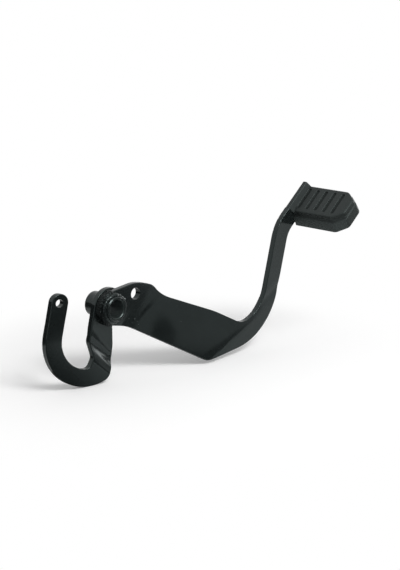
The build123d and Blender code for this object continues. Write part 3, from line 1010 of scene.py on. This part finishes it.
def lay_floor(level, middle):
    """Pale floor that keeps the pedal's shadow and goes over to plain white further out."""
    deselect()
    bpy.ops.mesh.primitive_plane_add(size=30.0, location=(0.0, 0.0, level))
    floor = bpy.context.object
    floor.name = "studio_floor"
    apply_place()
    material, tree, shader = fresh_material("pale_floor")
    shader.inputs["Roughness"].default_value = 0.9
    shader.inputs["Specular IOR Level"].default_value = 0.0
    shader.inputs["Emission Strength"].default_value = 0.08
    place = object_place(tree)
    base = tint(tree, noise(tree, place, 3.0, 2.0), grey(0.95), grey(0.97))
    tree.links.new(base, shader.inputs["Base Color"])
    reach = vector_reading(tree, "DISTANCE", place, (*middle[:2], level))
    far = ramp(tree, reach, 0.13, 0.28)
    glow = node(tree, "ShaderNodeEmission")
    mixed = node(tree, "ShaderNodeMixShader")
    tree.links.new(times(tree, far, seen_rays(tree)), mixed.inputs["Fac"])
    tree.links.new(shader.outputs["BSDF"], mixed.inputs[1])
    tree.links.new(glow.outputs["Emission"], mixed.inputs[2])
    tree.links.new(mixed.outputs["Shader"], tree.nodes["Material Output"].inputs["Surface"])
    floor.data.materials.append(material)


def standing(start, end, level, *tops):
    """Corners of a card that stands on the floor between two places."""
    feet = (start, end)
    return (*((*foot, level) for foot in feet), *((*foot, top) for foot, top in zip(feet, tops)))


def lying(low, high, level):
    """Corners of a cloth that lies flat between two places."""
    return tuple((x, y, level) for y in (low[1], high[1]) for x in (low[0], high[0]))


def reflected_card(name, corners, greys, change=(0.0, 0.01), axis=(0.0, 0.0, 1.0), spot=None):
    """Glowing card that only reflections see and no lamp: its glow goes from one grey to another along an
    axis, with a soft dark spot, and shows as painted reflections in the gloss.
    """
    deselect()
    bpy.ops.mesh.primitive_plane_add(size=1.0)
    card = bpy.context.object
    card.name = name
    for vertex, corner in zip(card.data.vertices, corners):
        vertex.co = corner
    material, tree, shader = fresh_material(name + "_grey")
    shader.inputs["Base Color"].default_value = grey(0.0)
    shader.inputs["Specular IOR Level"].default_value = 0.0
    shader.inputs["Emission Strength"].default_value = 1.0
    place = object_place(tree)
    further = ramp(tree, vector_reading(tree, "DOT_PRODUCT", place, axis), *change)
    glow = tint(tree, further, *(grey(level) for level in greys))
    if spot:
        middle, reach = spot
        away = vector_reading(tree, "DISTANCE", place, middle)
        wobble = times(tree, noise(tree, place, 60.0, 2.0), 2.4 * reach)
        inside = ramp(tree, math_node(tree, "ADD", away, wobble), 2.3 * reach, 2.1 * reach)
        glow = tint(tree, inside, glow, grey(0.03))
    tree.links.new(glow, shader.inputs["Emission Color"])
    card.data.materials.append(material)
    card.visible_camera = card.visible_diffuse = card.visible_shadow = card.visible_transmission = False


def white_room(strength):
    """Even light from all round, seen as plain white by the camera and in reflections."""
    world = bpy.data.worlds.new("white_room")
    bpy.context.scene.world = world
    world.use_nodes = True
    tree = world.node_tree
    tree.nodes.clear()
    level = blend_value(tree, seen_rays(tree), strength, 1.0)
    light = node(tree, "ShaderNodeBackground", Color=(1.0, 1.0, 1.0, 1.0))
    tree.links.new(level, light.inputs["Strength"])
    output = node(tree, "ShaderNodeOutputWorld")
    tree.links.new(light.outputs["Background"], output.inputs["Surface"])


class PEDAL_OT_set_stage(bpy.types.Operator):
    """Lay the floor, hang the lamps and place the camera"""

    bl_idname = "pedal.set_stage"
    bl_label = "Set Stage"

    def execute(self, context):
        stage = context.scene.pedal_stage
        middle = (0.08, -0.03, 0.0)
        level = cad_box[0][2]
        lay_floor(level, middle)
        white_room(stage.fill)
        area_lamp("front_softbox", (0.0, -0.95, 1.05), middle, (0.7, 0.45), stage.key)
        area_lamp("side_softbox", (1.2, -0.13, 0.2), middle, (0.5, 0.4), stage.side)
        # Glowing cards that only reflections see, no lamps: the flags and cloths paint grey and dark
        # reflections into the gloss.
        seam, line, head = 0.035, -0.16, 0.09
        reflected_card("front_flag", standing((seam, line), (0.27, line), level, head, head), (0.12, 0.62),
                       (0.022, 0.042), (0.39, 0.0, 1.0), ((0.098, line, 0.006), 0.011))
        reflected_card("front_left_flag", standing((-0.25, line), (seam, line), level, head, head),
                       (0.04, 0.2), (0.0, 0.05))
        cloth = level + 0.5 * MM
        reflected_card("left_cloth", lying((-0.7, -0.5), (0.01, 0.02), cloth),
                       (0.06, 0.9), (-0.05, 0.01), (1.0, 0.0, 0.0))
        reflected_card("rear_cloth", lying((-0.9, 0.12), (0.9, 0.8), cloth),
                       (0.9, 0.05), (0.12, 0.16), (0.0, 1.0, 0.0))
        reflected_card("rear_left_flag", standing((-0.8, 0.3), (-0.02, 0.3), level, 0.06, 0.06),
                       (0.04, 0.04))
        reflected_card("right_flag", standing((0.515, -0.287), (0.585, -0.115), level, 0.06, 0.02),
                       (0.03, 0.03))
        # Painted highlight: the glint card glows sixteen times as bright as white to put glints on the
        # welds, and is no lamp.
        glint = ((-0.5, -0.8, 0.68), (-0.1, -0.8, 0.68), (-0.5, -0.64, 1.0), (-0.1, -0.64, 1.0))
        reflected_card("glint_card", glint, (16.0, 16.0))
        data = bpy.data.cameras.new("camera")
        data.sensor_width = SENSOR
        data.lens = stage.focal / PICTURE_HEIGHT * SENSOR
        context.scene.camera = hang("camera", data, stage.eye_point, Vector(stage.aim))
        context.scene.view_settings.view_transform = "Standard"
        return {"FINISHED"}


class PEDAL_PT_sidebar(bpy.types.Panel):
    """Lists the steps that dress the pedal, and the values they use"""

    bl_idname = "PEDAL_PT_sidebar"
    bl_label = "Rear Brake Pedal"
    bl_space_type = "VIEW_3D"
    bl_region_type = "UI"
    bl_category = "Pedal"

    def draw(self, context):
        for group in GROUPS:
            box = self.layout.box()
            for key in GROUPS[group].__annotations__:
                box.prop(getattr(context.scene, group), key)
        for step in STEPS:
            self.layout.operator(step.bl_idname)


GROUPS = {
    "pedal_paint": PedalPaint, "pedal_bend": PedalBend, "pedal_rubber": PedalRubber, "pedal_pad": PedalPad,
    "pedal_weld": PedalWeld, "pedal_stage": PedalStage}
STEPS = (
    PEDAL_OT_paint_steel, PEDAL_OT_press_plates, PEDAL_OT_mould_pad, PEDAL_OT_lay_welds, PEDAL_OT_set_stage)
CLASSES = (*GROUPS.values(), *STEPS, PEDAL_PT_sidebar)


def register():
    """Register the classes and hang their values on the scene."""
    for made in CLASSES:
        bpy.utils.register_class(made)
    for group, made in GROUPS.items():
        setattr(bpy.types.Scene, group, PointerProperty(type=made))


def unregister():
    """Undo register."""
    for group in GROUPS:
        delattr(bpy.types.Scene, group)
    for made in reversed(CLASSES):
        bpy.utils.unregister_class(made)


def main():
    """Dress the pedal step by step."""
    register()
    bpy.ops.pedal.paint_steel()
    bpy.ops.pedal.press_plates()
    bpy.ops.pedal.mould_pad()
    bpy.ops.pedal.lay_welds()
    bpy.ops.pedal.set_stage()


if __name__ == "__main__":
    main()
